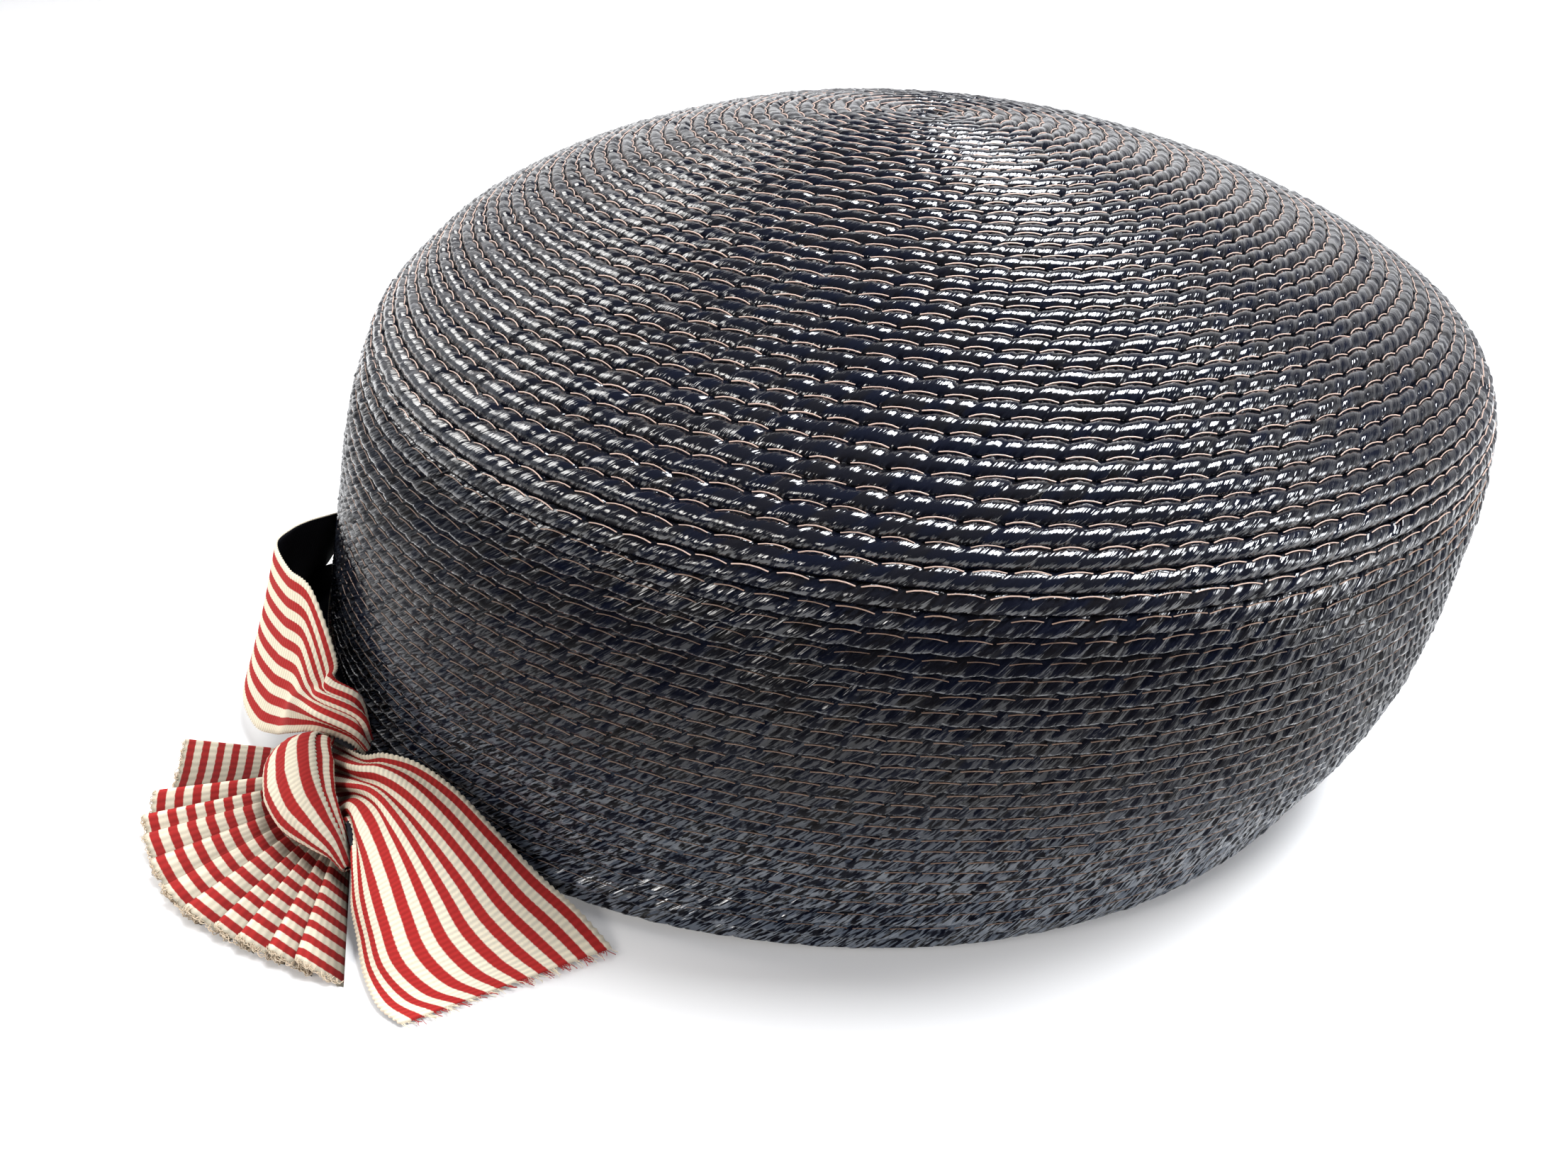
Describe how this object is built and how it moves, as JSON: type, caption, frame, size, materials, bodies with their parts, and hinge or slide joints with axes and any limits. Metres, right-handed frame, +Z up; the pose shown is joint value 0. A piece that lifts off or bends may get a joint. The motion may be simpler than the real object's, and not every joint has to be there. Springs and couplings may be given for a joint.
{
  "type": "straw toque hat with ribbon bow",
  "caption": "Brimless navy straw toque sewn from a narrow glossy plait, with a red and cream striped ribbon bow and a pleated ribbon fan at one side.",
  "frame": {"origin": "Middle of the whole hat's outline, bow included, on the surface that the rim rests on.", "axes": "+Z is up out of the crown's tip, the bow lies towards -X and -Y, and the crown's open side faces -Z."},
  "size_m": [0.2584, 0.2686, 0.1262],
  "materials": {
    "straw": "glossy woven straw",
    "ribbon": "striped grosgrain"
  },
  "bodies": {
    "root": {"crown": "straw", "bow_loop": "ribbon", "bow_tail": "ribbon", "bow_back_tail": "ribbon", "bow_knot": "ribbon", "pleated_fan": "ribbon"}
  },
  "joints": []
}
